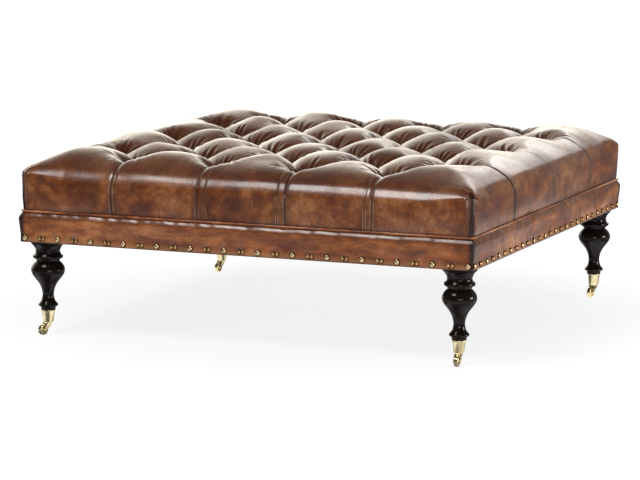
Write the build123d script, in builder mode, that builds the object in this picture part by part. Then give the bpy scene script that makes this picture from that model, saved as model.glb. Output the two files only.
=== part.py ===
from build123d import *
import os
from math import hypot

# A square, button-tufted leather ottoman on four turned legs with brass cup casters.
# Millimetres, +Z up. The origin is the middle of the footprint, on the floor, and the front is -Y.

os.makedirs("parts", exist_ok=True)

# The whole ottoman
band_width = 1220.0
apron_height = 243.0
seam_height = 321.0
crown_height = 488.0
cut_overrun = 20.0
running_clearance = 0.05
slide_gap = 0.3
fitting_gap = 0.1

# Hardwood frame under the deck
rail_thickness = 22.0
deck_thickness = 12.0
cross_member_width = 28.0
cross_member_height = 45.0
corner_block_size = 80.0
corner_block_height = 45.0
dowel_radius = 5.0
dowel_length = 46.0
dowel_in_rail = 16.0
dowel_height_shares = (0.3, 0.75)

# Border band: leather on felt, turned under the rails
band_thickness = 5.0
leather_return = 1.8
band_flat_height = 22.0
band_lean_height = 35.0
band_lean = 3.3
band_roll = 4.5

# Decorative nails along the foot of the band
nail_rise = 11.0
nail_corner_inset = 12.6
large_nail_count = 14
large_nail_radius = 7.0
large_nail_dome = 3.2
small_nail_radius = 4.75
small_nail_dome = 2.4
small_nail_spacing = 10.8
nail_shank_radius = 1.1
nail_shank_length = 11.0

# Cushion: plain foam pad, and the tufted cover with its wadding
cover_foot_inset = 4.0
cover_edge_swell = 7.0
cover_thickness = 12.0
cover_side_height = 78.0
crown_run = 158.0
side_bow = 3.0
foot_bow = 0.3
cover_corner_radius = 12.0
foam_height = 79.0
# The crown's outline above the sides: inset as a share of its run, and height as a share of its rise
cover_crown_shares = ((0.000, 0.000), (0.041, 0.226), (0.234, 0.515), (0.557, 0.796), (1.000, 1.000))
crown_tangent_shares = (0.5, 0.5)

# Tufting: a diamond pattern of deep-set buttons
tuft_margin_x = 146.0
tuft_margin_y = 133.0
tuft_columns = 4
tuft_rows = 3
button_pad = 4.0
button_radius = 11.0
button_height = 7.0
button_edge = 2.0
pit_floor_radius = 12.5
pit_mouth_radius = 92.0
pit_swell = 17.4
channel_depth = 36.0
channel_half_width = 78.0
channel_swell = 5.6
pleat_depth = 36.0
pleat_half_width = 60.0
pleat_swell = 4.5
pleat_fall = 42.0
crease_depth = 8.5
crease_half_width = 26.0
crease_swell = 1.6
mouth_rise = 4.0

# Tufting twines and what they pull against
twine_radius = 1.0
twine_knot_radius = 3.0
twine_hole_radius = 4.0
washer_radius = 11.0
washer_thickness = 3.0

# Piping in the seam
welt_radius = 3.0
welt_seat_gap = 1.4

# Cloth under the frame
dust_cover_thickness = 0.8
dust_cover_inset = 12.0
dust_cover_notch = 47.0
staple_width = 10.0
staple_wire = 0.7
staple_leg = 6.0
staple_count = 12
staple_edge_inset = 5.0

# Screws
screw_radius = 2.2
screw_head_radius = 4.2
screw_head_height = 2.6
frame_screw_length = 50.0
deck_screw_length = 34.0
deck_screw_count = 5
block_screw_height_shares = (0.3, 0.75)

# Turned legs: radii from the top down, and the outline's points as shares of the leg's height
# above its cup and of the named radii
leg_inset = 51.6
leg_top_radius = 43.5
leg_waist_radius = 31.5
leg_ring_radius = 39.0
leg_neck_radius = 29.5
leg_bulb_radius = 43.5
leg_ankle_radius = 14.8
leg_collar_radius = 25.5
leg_foot_radius = 18.5
leg_height_shares = {
    "lip": 0.963, "cove": 0.946, "waist": 0.855, "flare": 0.795, "ring": 0.772, "under_ring": 0.749,
    "neck": 0.704, "shoulder": 0.670, "bulb": 0.575, "belly": 0.460, "taper": 0.383, "calf": 0.310,
    "ankle": 0.200, "flare_out": 0.125, "collar_top": 0.090, "collar": 0.073, "collar_foot": 0.052,
    "foot": 0.012,
}
leg_cove_share = 0.75
leg_ring_edge_share = 0.96
leg_neck_flare_share = 1.12
leg_bulb_taper_shares = (0.78, 0.54)
leg_ankle_flare_shares = (1.17, 1.25)
leg_collar_edge_share = 0.92
leg_collar_foot_share = 1.08
leg_bolt_radius = 4.0
leg_bolt_in_leg = 45.0
leg_bolt_above_block = 7.0
bolt_hole_radius = 4.25
nut_barrel_radius = 5.0
nut_barrel_length = 12.0
nut_flange_radius = 11.0
nut_flange_thickness = 1.6

# Brass cups and casters
cup_foot_height = 33.0
cup_height = 31.0
cup_mouth_radius = 16.8
cup_foot_radius = 13.0
cup_wall = 1.2
cup_floor = 2.0
cup_bead_radius = 1.3
cup_pin_radius = 0.8
cup_pin_length = 8.0
cup_pin_head_radius = 1.6
cup_pin_drop = 7.0
swivel_pin_radius = 3.0
swivel_head_radius = 4.5
swivel_head_height = 1.5
fork_boss_radius = 6.0
fork_boss_drop = 3.7
fork_crown_height = 6.0
fork_crown_width = 18.0
fork_crown_front = 8.0
fork_crown_back = 10.0
fork_crown_corner = 4.5
fork_arm_thickness = 2.6
fork_eye_radius = 5.0
caster_trail = 20.0
wheel_radius = 14.0
wheel_tread_width = 10.5
wheel_hub_radius = 5.0
wheel_web_recess = 1.6
wheel_rim_height = 4.0
wheel_edge_round = 1.8
axle_radius = 2.0
axle_head_radius = 3.2
axle_head_height = 1.1
# How far each caster has been turned about its pin, in degrees, from trailing straight forward
caster_turns = {"front_left": -17, "front_right": 6, "back_left": -5, "back_right": -7}

# Worked out from the sizes above
band_face = band_width / 2
rail_face = band_face - band_thickness
rail_inside = rail_face - rail_thickness
rail_foot = apron_height + leather_return
rail_top = seam_height - deck_thickness
rail_height = rail_top - rail_foot
rail_middle = (rail_face + rail_inside) / 2
cushion_foot = band_face - cover_foot_inset
cushion_widest = cushion_foot + cover_edge_swell
side_top = seam_height + cover_side_height
crown_rise = crown_height - side_top
foam_half = cushion_foot - cover_thickness
foam_top = seam_height + foam_height
pit_floor = foam_top + button_pad
tuft_step_x = (band_face - tuft_margin_x) / tuft_columns
tuft_step_y = (band_face - tuft_margin_y) / tuft_rows
leg_axis = band_face - leg_inset
block_middle = rail_inside - corner_block_size / 2
block_inside = rail_inside - corner_block_size
block_top = apron_height + corner_block_height
bolt_foot = apron_height - leg_bolt_in_leg
bolt_top = block_top + leg_bolt_above_block
cup_top = cup_foot_height + cup_height
fork_top = cup_foot_height - slide_gap
fork_gap = wheel_tread_width / 2 + wheel_web_recess / 2
arm_face = fork_gap + running_clearance * 2

tuft_cells = [
    (column, row)
    for row in range(-tuft_rows, tuft_rows + 1)
    for column in range(-tuft_columns, tuft_columns + 1)
    if (column + row) % 2 == 0
]
tufts = [(column * tuft_step_x, row * tuft_step_y) for column, row in tuft_cells]

side_turns = {"front": 0, "right": 90, "back": 180, "left": 270}
corners = {"front_left": (-1, -1), "front_right": (1, -1), "back_left": (-1, 1), "back_right": (1, 1)}


def save(part, name):
    """Name a finished piece and write it."""
    part.label = name
    export_step(part, f"parts/{name}.step")


def side_plane(side, height=0):
    """Ground plane turned so that its -Y looks out of one side of the ottoman."""
    return Plane.XY.rotated((0, 0, side_turns[side])).offset(height)


def section_plane(side):
    """Plane across a side strip: X runs outwards from the middle, and Y runs up."""
    ground = side_plane(side)
    return Plane(origin=ground.origin, x_dir=-ground.y_dir, z_dir=-ground.x_dir)


def face_plane(side, distance, height):
    """Plane on one side's face: X along it, Y up, Z outwards."""
    ground = side_plane(side)
    origin = ground.from_local_coords((0, -distance, height))
    return Plane(origin=origin, x_dir=ground.x_dir, z_dir=-ground.y_dir)


def upright_plane(x, y):
    """Plane standing on the floor through an upright axis: X outwards, Y up."""
    return Plane(origin=(x, y, 0), x_dir=(1, 0, 0), z_dir=(0, -1, 0))


def upright_axis(x, y):
    """The upright axis through a point of the floor."""
    return Axis((x, y, 0), (0, 0, 1))


def cap_radius(edge_radius, rise):
    """Radius of the sphere that a round cap of this edge and rise is cut from."""
    return (edge_radius ** 2 + rise ** 2) / (2 * rise)


# Hardwood rails: the front and back ones run right through, and the side ones fit between them
corner_dowels = [
    (sign * rail_middle, rail_foot + rail_height * share)
    for sign in (-1, 1)
    for share in dowel_height_shares
]
for side in side_turns:
    runs_through = side in ("front", "back")
    rail_length = 2 * (rail_face if runs_through else rail_inside)
    with BuildPart() as rail:
        with Locations(side_plane(side, rail_foot).location * Location((0, -rail_middle, 0))):
            Box(rail_length, rail_thickness, rail_height, align=(Align.CENTER, Align.CENTER, Align.MIN))
        if runs_through:
            hole_places = face_plane(side, rail_inside + dowel_in_rail / 2, 0)
            with Locations(*[hole_places.location * Location((x, z, 0)) for x, z in corner_dowels]):
                Cylinder(dowel_radius, dowel_in_rail, mode=Mode.SUBTRACT)
        else:
            end_depth = dowel_length - dowel_in_rail
            for end in ("front", "back"):
                hole_places = face_plane(end, rail_inside - end_depth / 2, 0)
                with Locations(*[hole_places.location * Location((x, z, 0)) for x, z in corner_dowels]):
                    Cylinder(dowel_radius, end_depth, mode=Mode.SUBTRACT)
    save(rail.part, f"rail_{side}")

# Dowels in the four frame joints
with BuildPart() as dowels:
    for end in ("front", "back"):
        joint = face_plane(end, rail_inside + dowel_in_rail, 0)
        with Locations(*[joint.location * Location((x, z, 0)) for x, z in corner_dowels]):
            Cylinder(dowel_radius, dowel_length, align=(Align.CENTER, Align.CENTER, Align.MAX))
save(dowels.part, "rail_dowels")

# Cross members between the front and back rails, clear of the tufting holes
cross_member_place = tuft_step_x * 3 / 2
for name, sign in (("left", -1), ("right", 1)):
    with BuildPart(Plane.XY.offset(rail_top)) as cross_member:
        with Locations((sign * cross_member_place, 0, 0)):
            Box(
                cross_member_width, 2 * rail_inside, cross_member_height,
                align=(Align.CENTER, Align.CENTER, Align.MAX),
            )
    save(cross_member.part, f"cross_member_{name}")

# Corner blocks, drilled for the leg bolt and counterbored for its nut
for corner, (sx, sy) in corners.items():
    with BuildPart(Plane.XY.offset(apron_height)) as block:
        with Locations((sx * block_middle, sy * block_middle, 0)):
            Box(
                corner_block_size, corner_block_size, corner_block_height,
                align=(Align.CENTER, Align.CENTER, Align.MIN),
            )
        with Locations((sx * leg_axis, sy * leg_axis, corner_block_height)):
            CounterBoreHole(bolt_hole_radius, nut_barrel_radius, nut_barrel_length)
    save(block.part, f"corner_block_{corner}")


def wood_screw(length):
    """Countersunk screw along Z, with its flat head at the origin and its point below."""
    with BuildPart() as screw:
        with BuildSketch(Plane.XZ):
            with BuildLine():
                Polyline(
                    (0, 0), (screw_head_radius, 0), (screw_radius, -screw_head_height),
                    (screw_radius, -length + screw_radius * 2), (0, -length), close=True,
                )
            make_face()
        revolve(axis=Axis.Z)
    return screw.part


# Screws through the rails into the corner blocks and cross members
frame_screw = wood_screw(frame_screw_length)
block_screw_x = block_inside + corner_block_size / 4
with BuildPart() as frame_screws:
    for side in side_turns:
        heads = face_plane(side, rail_face, apron_height)
        places = [
            (sign * block_screw_x, corner_block_height * share)
            for sign in (-1, 1)
            for share in block_screw_height_shares
        ]
        if side in ("front", "back"):
            member_middle = rail_top - cross_member_height / 2 - apron_height
            places += [(sign * cross_member_place, member_middle) for sign in (-1, 1)]
        with Locations(*[heads.location * Location((x, z, 0)) for x, z in places]):
            add(frame_screw)
save(frame_screws.part, "frame_screws")

# Plywood deck on the rails, with a hole under each button
with BuildPart(Plane.XY.offset(rail_top)) as deck:
    Box(2 * rail_face, 2 * rail_face, deck_thickness, align=(Align.CENTER, Align.CENTER, Align.MIN))
    with Locations(*[(x, y, deck_thickness) for x, y in tufts]):
        Hole(twine_hole_radius)
save(deck.part, "deck_panel")

# Screws down through the deck into the rails
deck_screw = wood_screw(deck_screw_length)
deck_screw_step = 2 * block_inside / deck_screw_count
with BuildPart() as deck_screws:
    for side in side_turns:
        with Locations(*[
            side_plane(side, seam_height).location * Location((step * deck_screw_step, -rail_middle, 0))
            for step in range(-(deck_screw_count // 2), deck_screw_count // 2 + 1)
        ]):
            add(deck_screw)
save(deck_screws.part, "deck_screws")

# Border bands: one mitred strip of leather on each side
for side in side_turns:
    ground = side_plane(side)
    lean_top = apron_height + band_flat_height + band_lean_height
    proud_face = band_face + band_lean
    with BuildPart() as band:
        with BuildSketch(section_plane(side)):
            with BuildLine():
                Polyline(
                    (proud_face - band_roll, seam_height), (rail_face, seam_height), (rail_face, rail_foot),
                    (rail_inside, rail_foot), (rail_inside, apron_height), (band_face, apron_height),
                    (band_face, apron_height + band_flat_height), (proud_face, lean_top),
                    (proud_face, seam_height - band_roll),
                )
                RadiusArc(
                    (proud_face, seam_height - band_roll), (proud_face - band_roll, seam_height), -band_roll
                )
            make_face()
        extrude(amount=proud_face, both=True)
        split(bisect_by=Plane(ground.origin, z_dir=ground.x_dir + ground.y_dir), keep=Keep.BOTTOM)
        split(bisect_by=Plane(ground.origin, z_dir=ground.y_dir - ground.x_dir), keep=Keep.BOTTOM)
    save(band.part, f"border_band_{side}")


def domed_nail(head_radius, dome):
    """Upholstery nail along Z, with the underside of its head at the origin."""
    with BuildPart() as nail:
        with BuildSketch(Plane.XZ):
            with BuildLine():
                RadiusArc((0, dome), (head_radius, 0), cap_radius(head_radius, dome))
                Polyline(
                    (head_radius, 0), (nail_shank_radius, 0),
                    (nail_shank_radius, nail_shank_radius * 2 - nail_shank_length),
                    (0, -nail_shank_length), (0, dome),
                )
            make_face()
        revolve(axis=Axis.Z)
    return nail.part


# Nails on each side: large domes with a pair of small ones in each space
large_nail = domed_nail(large_nail_radius, large_nail_dome)
small_nail = domed_nail(small_nail_radius, small_nail_dome)
nail_pitch = (band_width - 2 * nail_corner_inset) / (large_nail_count - 1)
large_places = [(step - (large_nail_count - 1) / 2) * nail_pitch for step in range(large_nail_count)]
small_places = [
    x + nail_pitch / 2 + sign * small_nail_spacing / 2 for x in large_places[:-1] for sign in (-1, 1)
]
for side in side_turns:
    with BuildPart(face_plane(side, band_face, apron_height + nail_rise)) as nails:
        with Locations(*[(x, 0, 0) for x in large_places]):
            add(large_nail)
        with Locations(*[(x, 0, 0) for x in small_places]):
            add(small_nail)
    save(nails.part, f"nails_{side}")

# Foam pad on the deck, with a hole for each twine
with BuildPart(Plane.XY.offset(seam_height)) as foam:
    Box(2 * foam_half, 2 * foam_half, foam_height, align=(Align.CENTER, Align.CENTER, Align.MIN))
    with Locations(*[(x, y, foam_height) for x, y in tufts]):
        Hole(twine_hole_radius)
save(foam.part, "foam_pad")


def valley_outline(half_width, depth, swell):
    """V with full, rounded flanks: its floor at the origin, and open at the top."""
    rim = depth + mouth_rise
    with BuildSketch() as valley:
        with BuildLine():
            SagittaArc((0, 0), (half_width, rim), swell)
            Polyline(
                (half_width, rim), (half_width, rim + cut_overrun), (-half_width, rim + cut_overrun),
                (-half_width, rim),
            )
            SagittaArc((-half_width, rim), (0, 0), swell)
        make_face()
    return valley.sketch


channel_outline = valley_outline(channel_half_width, channel_depth, channel_swell)
pleat_outline = valley_outline(pleat_half_width, pleat_depth, pleat_swell)
crease_outline = valley_outline(crease_half_width, crease_depth, crease_swell)

# One button's pit, with its axis on the origin
with BuildPart() as tuft_pit:
    with BuildSketch(Plane.XZ):
        with BuildLine():
            Polyline((0, crown_height + cut_overrun), (0, pit_floor), (pit_floor_radius, pit_floor))
            SagittaArc(
                (pit_floor_radius, pit_floor), (pit_mouth_radius, crown_height + mouth_rise), pit_swell
            )
            Polyline(
                (pit_mouth_radius, crown_height + mouth_rise), (pit_mouth_radius, crown_height + cut_overrun),
                (0, crown_height + cut_overrun),
            )
        make_face()
    revolve(axis=Axis.Z)


def cover_ring(half, bow, height):
    """Plan of the cover at one height: a square with drawn-in sides and rounded corners."""
    with BuildSketch(Plane.XY.offset(height)) as ring:
        with BuildLine():
            SagittaArc((-half, -half), (half, -half), bow)
            SagittaArc((half, -half), (half, half), bow)
            SagittaArc((half, half), (-half, half), bow)
            SagittaArc((-half, half), (-half, -half), bow)
        make_face()
        fillet(ring.vertices(), cover_corner_radius)
    return ring.sketch


# Tufted cover: a crowned form with drawn-in sides, buttoned down in a diamond pattern
crown_points = [
    (cushion_widest - crown_run * inset, side_top + crown_rise * rise) for inset, rise in cover_crown_shares
]
with BuildPart() as cover:
    widest_ring = cover_ring(cushion_widest, side_bow, side_top)
    loft(sections=[cover_ring(cushion_foot, foot_bow, seam_height), widest_ring], ruled=True)
    extrude(widest_ring, amount=crown_rise)
    for side in ("front", "right"):
        with BuildSketch(section_plane(side)):
            with BuildLine():
                Polyline((0, crown_height), (0, seam_height), (cushion_widest, seam_height), crown_points[0])
                Spline(*crown_points, tangents=((0, 1), (-1, 0)), tangent_scalars=crown_tangent_shares)
                Line(crown_points[-1], (0, crown_height))
            make_face()
            mirror(about=Plane.YZ)
        extrude(amount=cushion_widest + cut_overrun, both=True, mode=Mode.INTERSECT)

    # Channels along each diagonal row of buttons
    channel_floor = crown_height - channel_depth
    for slope in (1, -1):
        row_starts = [cell for cell in tuft_cells if (cell[0] - 1, cell[1] - slope) not in tuft_cells]
        for column, row in row_starts:
            steps = 0
            while (column + steps + 1, row + slope * (steps + 1)) in tuft_cells:
                steps += 1
            if steps:
                run_x, run_y = tuft_step_x * steps, slope * tuft_step_y * steps
                start = (column * tuft_step_x, row * tuft_step_y, channel_floor)
                with BuildSketch(Plane(start, x_dir=(-run_y, run_x, 0), z_dir=(run_x, run_y, 0))):
                    add(channel_outline)
                extrude(amount=hypot(run_x, run_y), mode=Mode.SUBTRACT)

    # Pleats from the outer buttons to the edge, and the creases below them down the sides
    for side in side_turns:
        ground = side_plane(side)
        across = side in ("front", "back")
        if across:
            rim_cells = [(column, row) for column, row in tuft_cells if abs(row) == tuft_rows]
        else:
            rim_cells = [(column, row) for column, row in tuft_cells if abs(column) == tuft_columns]
        margin = tuft_margin_y if across else tuft_margin_x
        pleat_floor = crown_height - pleat_depth
        for column, row in rim_cells:
            tuft = ground.to_local_coords(Vector(column * tuft_step_x, row * tuft_step_y, 0))
            if tuft.Y < 0:
                start = ground.from_local_coords((tuft.X, tuft.Y, pleat_floor))
                outwards = ground.y_dir * -margin - ground.z_dir * pleat_fall
                with BuildSketch(Plane(start, x_dir=ground.x_dir, z_dir=outwards)):
                    add(pleat_outline)
                extrude(amount=hypot(margin, pleat_fall) + cut_overrun, mode=Mode.SUBTRACT)
                foot = ground.from_local_coords((tuft.X, crease_depth - cushion_widest, seam_height))
                with BuildSketch(Plane(foot, x_dir=-ground.x_dir, z_dir=(0, 0, 1))):
                    add(crease_outline)
                extrude(amount=pleat_floor - pleat_fall - seam_height, mode=Mode.SUBTRACT)

    # Button pits, the hollow that holds the foam, and the holes that the twines pass through
    with Locations(*[(x, y, 0) for x, y in tufts]):
        add(tuft_pit.part, mode=Mode.SUBTRACT)
    with Locations((0, 0, seam_height)):
        Box(
            2 * foam_half, 2 * foam_half, foam_height, align=(Align.CENTER, Align.CENTER, Align.MIN),
            mode=Mode.SUBTRACT,
        )
    with Locations(*[(x, y, foam_top) for x, y in tufts]):
        Cylinder(
            twine_radius + slide_gap, button_pad, align=(Align.CENTER, Align.CENTER, Align.MIN),
            mode=Mode.SUBTRACT,
        )
save(cover.part, "tufted_cover")

# Leather-covered buttons on the floors of the pits
with BuildPart() as button:
    with BuildSketch(Plane.XZ):
        with BuildLine():
            Polyline((0, button_height), (0, 0), (button_radius, 0), (button_radius, button_edge))
            dome_radius = cap_radius(button_radius, button_height - button_edge)
            RadiusArc((button_radius, button_edge), (0, button_height), -dome_radius)
        make_face()
    revolve(axis=Axis.Z)
with BuildPart(Plane.XY.offset(pit_floor)) as buttons:
    with Locations(*tufts):
        add(button.part)
save(buttons.part, "tuft_buttons")

# Washers under the deck
with BuildPart(Plane.XY.offset(rail_top)) as washers:
    with Locations(*tufts):
        Cylinder(washer_radius, washer_thickness, align=(Align.CENTER, Align.CENTER, Align.MAX))
        Hole(twine_radius + fitting_gap)
save(washers.part, "twine_washers")

# Tufting twines, each with a knot below its washer
knot_height = rail_top - washer_thickness - twine_knot_radius
with BuildPart(Plane.XY.offset(knot_height)) as twines:
    with Locations(*tufts):
        Cylinder(twine_radius, pit_floor - knot_height, align=(Align.CENTER, Align.CENTER, Align.MIN))
        Sphere(twine_knot_radius)
save(twines.part, "tufting_twines")

# Welt: leather piping round the foot of the cushion
welt_middle = cushion_foot + welt_radius + welt_seat_gap
with BuildPart() as welt:
    with BuildLine(Plane.XY.offset(seam_height + welt_radius + fitting_gap)) as welt_line:
        FilletPolyline(
            (welt_middle, -welt_middle), (welt_middle, welt_middle), (-welt_middle, welt_middle),
            (-welt_middle, -welt_middle), radius=cover_corner_radius + welt_radius, close=True,
        )
    with BuildSketch(Plane(welt_line.line @ 0, z_dir=welt_line.line % 0)):
        Circle(welt_radius)
    sweep()
save(welt.part, "welt_piping")

# Dust cover: thin cloth under the frame, notched round the legs
dust_half = band_face - dust_cover_inset
with BuildPart(Plane.XY.offset(apron_height)) as dust_cover:
    Box(2 * dust_half, 2 * dust_half, dust_cover_thickness, align=(Align.CENTER, Align.CENTER, Align.MAX))
    notch = dust_half - leg_axis + dust_cover_notch
    notch_middle = dust_half - notch / 2
    with Locations(*[(sx * notch_middle, sy * notch_middle, 0) for sx, sy in corners.values()]):
        Box(
            notch, notch, dust_cover_thickness, align=(Align.CENTER, Align.CENTER, Align.MAX),
            mode=Mode.SUBTRACT,
        )
save(dust_cover.part, "dust_cover")

# Staples that hold the dust cover to the rails, driven flush into the cloth
staple_line = dust_half - staple_edge_inset
staple_run = 2 * (leg_axis - dust_cover_notch) - 2 * staple_width
with BuildPart() as staple:
    with Locations((0, 0, staple_wire / 2)):
        Box(staple_width, staple_wire, staple_wire)
    with Locations(*[(sign * (staple_width - staple_wire) / 2, 0, 0) for sign in (-1, 1)]):
        Box(staple_wire, staple_wire, staple_leg, align=(Align.CENTER, Align.CENTER, Align.MIN))
with BuildPart() as staples:
    for side in side_turns:
        ground = side_plane(side, apron_height - dust_cover_thickness)
        with Locations(*[
            ground.location * Location(((step / (staple_count - 1) - 1 / 2) * staple_run, -staple_line, 0))
            for step in range(staple_count)
        ]):
            add(staple.part)
save(staples.part, "dust_cover_staples")


flare_radius = (leg_ring_radius + leg_waist_radius) / 2
leg_radii = {
    "lip": leg_top_radius,
    "cove": leg_waist_radius + (leg_top_radius - leg_waist_radius) * leg_cove_share,
    "waist": leg_waist_radius,
    "flare": leg_ring_radius * leg_ring_edge_share,
    "ring": leg_ring_radius,
    "under_ring": leg_ring_radius * leg_ring_edge_share,
    "neck": leg_neck_radius,
    "shoulder": (leg_bulb_radius + leg_neck_radius) / 2,
    "bulb": leg_bulb_radius,
    "belly": leg_bulb_radius * leg_bulb_taper_shares[0],
    "taper": leg_bulb_radius * leg_bulb_taper_shares[1],
    "calf": leg_ankle_radius * leg_ankle_flare_shares[0],
    "ankle": leg_ankle_radius,
    "flare_out": leg_ankle_radius * leg_ankle_flare_shares[1],
    "collar_top": leg_collar_radius * leg_collar_edge_share,
    "collar": leg_collar_radius,
    "collar_foot": leg_foot_radius * leg_collar_foot_share,
    "foot": leg_foot_radius,
}


def leg_height(place):
    """Height of a named place on the leg, above the floor."""
    return cup_top + (apron_height - cup_top) * leg_height_shares[place]


def leg_point(place):
    """A named point of the leg's outline: its radius and its height."""
    return (leg_radii[place], leg_height(place))


# Turned legs, each drilled from the top for its bolt
cup_taper = (cup_mouth_radius - cup_foot_radius) / cup_height
peg_foot = cup_foot_height + cup_floor + swivel_head_height + fitting_gap
peg_top_radius = cup_mouth_radius - cup_wall - fitting_gap
peg_foot_radius = peg_top_radius - cup_taper * (cup_top - peg_foot)
for corner, (sx, sy) in corners.items():
    x, y = sx * leg_axis, sy * leg_axis
    with BuildPart() as leg:
        with BuildSketch(upright_plane(x, y)):
            with BuildLine():
                Polyline((0, apron_height), (leg_top_radius, apron_height), leg_point("lip"))
                Spline(
                    leg_point("lip"), leg_point("cove"), leg_point("waist"),
                    (flare_radius, leg_height("flare")),
                )
                Line((flare_radius, leg_height("flare")), leg_point("flare"))
                ThreePointArc(leg_point("flare"), leg_point("ring"), leg_point("under_ring"))
                Polyline(
                    leg_point("under_ring"),
                    (leg_neck_radius * leg_neck_flare_share, leg_height("under_ring")),
                    leg_point("neck"),
                )
                Spline(*[leg_point(place) for place in (
                    "neck", "shoulder", "bulb", "belly", "taper", "calf", "ankle", "flare_out",
                )])
                Line(leg_point("flare_out"), leg_point("collar_top"))
                ThreePointArc(leg_point("collar_top"), leg_point("collar"), leg_point("collar_foot"))
                Polyline(
                    leg_point("collar_foot"), leg_point("foot"), (leg_foot_radius, cup_top),
                    (peg_top_radius, cup_top), (peg_foot_radius, peg_foot), (0, peg_foot),
                    (0, apron_height),
                )
            make_face()
        revolve(axis=upright_axis(x, y))
        with Locations((x, y, apron_height)):
            Cylinder(
                leg_bolt_radius, leg_bolt_in_leg, align=(Align.CENTER, Align.CENTER, Align.MAX),
                mode=Mode.SUBTRACT,
            )
    save(leg.part, f"leg_{corner}")

# Hanger bolts from the legs into the corner blocks
leg_places = [(sx * leg_axis, sy * leg_axis) for sx, sy in corners.values()]
with BuildPart(Plane.XY.offset(bolt_foot)) as bolts:
    with Locations(*leg_places):
        Cylinder(leg_bolt_radius, bolt_top - bolt_foot, align=(Align.CENTER, Align.CENTER, Align.MIN))
save(bolts.part, "hanger_bolts")

# Flanged nuts pressed into the tops of the corner blocks
with BuildPart(Plane.XY.offset(block_top)) as nuts:
    with Locations(*leg_places):
        Cylinder(nut_flange_radius, nut_flange_thickness, align=(Align.CENTER, Align.CENTER, Align.MIN))
        Cylinder(nut_barrel_radius, nut_barrel_length, align=(Align.CENTER, Align.CENTER, Align.MAX))
        Cylinder(leg_bolt_radius, 2 * nut_barrel_length + 2 * nut_flange_thickness, mode=Mode.SUBTRACT)
save(nuts.part, "leg_nuts")

# Brass cups on the leg feet
for corner, (sx, sy) in corners.items():
    x, y = sx * leg_axis, sy * leg_axis
    bead_foot = cup_top - 2 * cup_bead_radius
    with BuildPart() as cup:
        with BuildSketch(upright_plane(x, y)):
            with BuildLine():
                Polyline(
                    (cup_mouth_radius - cup_wall, cup_top),
                    (cup_foot_radius - cup_wall + cup_taper * cup_floor, cup_foot_height + cup_floor),
                    (swivel_pin_radius, cup_foot_height + cup_floor), (swivel_pin_radius, cup_foot_height),
                    (cup_foot_radius, cup_foot_height),
                    (cup_mouth_radius - cup_taper * 2 * cup_bead_radius, bead_foot),
                )
                ThreePointArc(
                    (cup_mouth_radius - cup_taper * 2 * cup_bead_radius, bead_foot),
                    (cup_mouth_radius + cup_bead_radius, cup_top - cup_bead_radius),
                    (cup_mouth_radius, cup_top),
                )
                Line((cup_mouth_radius, cup_top), (cup_mouth_radius - cup_wall, cup_top))
            make_face()
        revolve(axis=upright_axis(x, y))
    save(cup.part, f"caster_cup_{corner}")

# Small brass pins through the cups into the leg feet, on both sides of each
pin_height = cup_top - cup_pin_drop
pin_face = cup_mouth_radius - cup_taper * cup_pin_drop
with BuildPart() as cup_pins:
    for x, y in leg_places:
        for turn in (0, 180):
            side_face = Plane.XY.rotated((0, 0, turn))
            origin = Vector(x, y, pin_height) - side_face.y_dir * pin_face
            with Locations(Plane(origin, x_dir=side_face.x_dir, z_dir=-side_face.y_dir).location):
                Cylinder(cup_pin_radius, cup_pin_length, align=(Align.CENTER, Align.CENTER, Align.MAX))
                Cylinder(cup_pin_head_radius, cup_pin_radius, align=(Align.CENTER, Align.CENTER, Align.MIN))
save(cup_pins.part, "cup_pins")

# Swivel pins: rivets through the floors of the cups, which the forks turn on
boss_foot = fork_top - fork_crown_height - fork_boss_drop
pin_foot = boss_foot - slide_gap
with BuildPart() as swivel_pin:
    with BuildSketch(Plane.XZ):
        with BuildLine():
            Polyline(
                (0, cup_foot_height + cup_floor + swivel_head_height),
                (swivel_head_radius, cup_foot_height + cup_floor + swivel_head_height),
                (swivel_head_radius, cup_foot_height + cup_floor),
                (swivel_pin_radius, cup_foot_height + cup_floor), (swivel_pin_radius, pin_foot),
                (swivel_head_radius, pin_foot),
            )
            rivet_radius = cap_radius(swivel_head_radius, swivel_head_height)
            RadiusArc((swivel_head_radius, pin_foot), (0, pin_foot - swivel_head_height), rivet_radius)
            Line(
                (0, pin_foot - swivel_head_height), (0, cup_foot_height + cup_floor + swivel_head_height)
            )
        make_face()
    revolve(axis=Axis.Z)
with BuildPart() as swivel_pins:
    with Locations(*leg_places):
        add(swivel_pin.part)
save(swivel_pins.part, "swivel_pins")


def caster_ground(corner):
    """Ground plane under a leg, turned so that the caster trails along its -Y."""
    sx, sy = corners[corner]
    turned = Plane.XY.rotated((0, 0, caster_turns[corner]))
    return Plane((sx * leg_axis, sy * leg_axis, 0), x_dir=turned.x_dir, z_dir=turned.z_dir)


def caster_side(corner, shift=0):
    """Plane across a caster's axle: X runs forwards along the fork and Y runs up."""
    ground = caster_ground(corner)
    return Plane(ground.origin + ground.x_dir * shift, x_dir=ground.y_dir, z_dir=ground.x_dir)


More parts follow.
